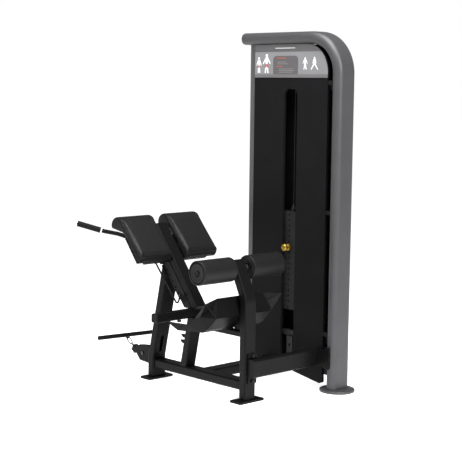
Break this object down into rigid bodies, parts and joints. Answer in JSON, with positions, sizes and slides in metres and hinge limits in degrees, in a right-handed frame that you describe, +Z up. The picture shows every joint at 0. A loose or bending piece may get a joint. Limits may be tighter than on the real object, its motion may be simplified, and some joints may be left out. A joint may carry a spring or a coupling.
{
  "type": "back extension machine",
  "caption": "Cable-loaded back-extension bench with split hip pads, ankle rollers, foot tray and side handles, joined to a shrouded weight-stack tower.",
  "frame": {"origin": "on the floor, under the centre of the front foot plate", "axes": "+X from the pads to the foot end, +Y from the bench to the weight-stack tower, +Z up"},
  "size_m": [1.4095, 1.0449, 2.073],
  "materials": {
    "frame_black": "satin black powder coat on steel",
    "strip_grey": "worn satin grey paint on steel",
    "tower_grey": "metallic mid-grey powder coat",
    "upright_silver": "satin silver-grey powder coat",
    "bar_grey": "light grey powder coat",
    "shroud_black": "fine-textured black powder coat on sheet steel",
    "placard_grey": null,
    "zinc_steel": "dull zinc plate",
    "dark_steel": "oiled dark steel",
    "bolt_black": "blackened fasteners",
    "black_plastic": "moulded, lightly grained",
    "black_rubber": "matt rubber",
    "bright_chrome": "polished plate",
    "gold_knob": "gold-coloured turned knob",
    "plate_grey": "painted dark grey",
    "black_vinyl": "black upholstery vinyl over foam",
    "board_wood": "plain plywood board",
    "cable_black": "nylon sleeve over steel cable"
  },
  "bodies": {
    "frame": {"base_beam": "frame_black", "beam_flanges": "frame_black", "brace_leg": "frame_black", "cross_arm": "frame_black", "foot_plates": "frame_black", "foot_tray": "frame_black", "frame_bolts": "bolt_black", "front_post": "frame_black", "front_shroud": "shroud_black", "guide_rods": "dark_steel", "hole_strips": "strip_grey", "inner_post": "upright_silver", "placard": "placard_grey", "rail": "frame_black", "rear_leg": "frame_black", "rear_shroud": "shroud_black", "resting_plates": "plate_grey", "rod_pivot": "zinc_steel", "roller_axle": "zinc_steel", "sheave_axles": "zinc_steel", "sheave_brackets": "frame_black", "side_beam": "frame_black", "stack_bumpers": "black_rubber", "tower_beam": "frame_black", "tower_cross_bars": "bar_grey", "tower_feet": "tower_grey", "tower_frame": "tower_grey", "tray_support": "frame_black", "tube_plugs": "black_plastic", "cable_main": "cable_black"},
    "pad_carriage": {"slide_beam": "frame_black", "carriage_brackets": "frame_black", "pad_boards": "board_wood", "pad_near": "black_vinyl", "pad_far": "black_vinyl", "handle_tubes": "frame_black", "handle_grips": "black_rubber", "grip_rings": "bright_chrome"},
    "release_lever": {"release_rod": "frame_black"},
    "ankle_roller_near": {"roller_near": "black_vinyl", "roller_hub_near": "black_plastic"},
    "ankle_roller_far": {"roller_far": "black_vinyl", "roller_hub_far": "black_plastic"},
    "weight_stack": {"top_plate": "plate_grey", "lifted_plates": "plate_grey", "guide_bushes": "black_plastic", "selector_stem": "dark_steel", "cable_eye": "zinc_steel", "cable_lift": "cable_black"},
    "selector": {"selector_pin": "bright_chrome", "pin_knob": "gold_knob"},
    "top_pulley": {"top_sheave": "black_plastic"},
    "base_pulley": {"base_sheave": "black_plastic"},
    "corner_pulley": {"corner_sheave": "black_plastic"},
    "pulley_swivel": {"swivel_housing": "frame_black", "swivel_fittings": "zinc_steel", "cable_tail": "cable_black"},
    "swivel_pulley": {"low_sheave": "black_plastic"},
    "pull_bar": {"snap_hook": "bright_chrome", "bar": "black_rubber"}
  },
  "joints": [
    {"name": "carriage_slide", "type": "slide", "parent": "frame", "child": "pad_carriage", "axis": [-0.6239, 0, 0.7815], "range_m": [0, 0.12]},
    {"name": "release_pull", "type": "hinge", "parent": "frame", "child": "release_lever", "pos_m": [-0.50265, -0.062, 0.54334], "axis": [0, -1, 0], "range_deg": [0, 8], "stiffness_Nm_per_rad": 2, "springref_deg": -17.19},
    {"name": "roller_spin_near", "type": "hinge", "parent": "frame", "child": "ankle_roller_near", "pos_m": [-0.083, -0.188, 0.743], "axis": [0, 1, 0], "continuous": true},
    {"name": "roller_spin_far", "type": "hinge", "parent": "frame", "child": "ankle_roller_far", "pos_m": [-0.083, 0.188, 0.743], "axis": [0, 1, 0], "continuous": true},
    {"name": "stack_lift", "type": "slide", "parent": "frame", "child": "weight_stack", "axis": [0, 0, 1], "range_m": [0, 0.64], "deforming": ["cable_lift"]},
    {"name": "pin_pull", "type": "slide", "parent": "weight_stack", "child": "selector", "axis": [0, -1, 0], "range_m": [0, 0.06]},
    {"name": "top_pulley_spin", "type": "hinge", "parent": "frame", "child": "top_pulley", "pos_m": [-0.293, 0.586, 1.868], "axis": [0, 1, 0], "continuous": true},
    {"name": "base_pulley_spin", "type": "hinge", "parent": "frame", "child": "base_pulley", "pos_m": [-0.362, 0.562, 0.116], "axis": [1, 0, 0], "continuous": true},
    {"name": "corner_pulley_spin", "type": "hinge", "parent": "frame", "child": "corner_pulley", "pos_m": [-0.384, 0.022, 0.092], "axis": [0, 0, 1], "continuous": true},
    {"name": "pulley_swivel_turn", "type": "hinge", "parent": "frame", "child": "pulley_swivel", "pos_m": [-0.785, 0, 0.092], "axis": [1, 0, 0], "range_deg": [-30, 30]},
    {"name": "swivel_pulley_spin", "type": "hinge", "parent": "pulley_swivel", "child": "swivel_pulley", "pos_m": [-0.9, 0, 0.13], "axis": [0, 1, 0], "continuous": true},
    {"name": "bar_turn", "type": "hinge", "parent": "pulley_swivel", "child": "pull_bar", "pos_m": [-1.00712, 0, 0.15802], "axis": [-0.8219, 0, 0.5697], "range_deg": [-50, 50]}
  ],
  "couplings": [
    {"joint": "top_pulley_spin", "follows": "stack_lift", "rad_per_m": -14.493},
    {"joint": "base_pulley_spin", "follows": "stack_lift", "rad_per_m": -41.667},
    {"joint": "corner_pulley_spin", "follows": "stack_lift", "rad_per_m": -45.455},
    {"joint": "swivel_pulley_spin", "follows": "stack_lift", "rad_per_m": 26.316}
  ]
}
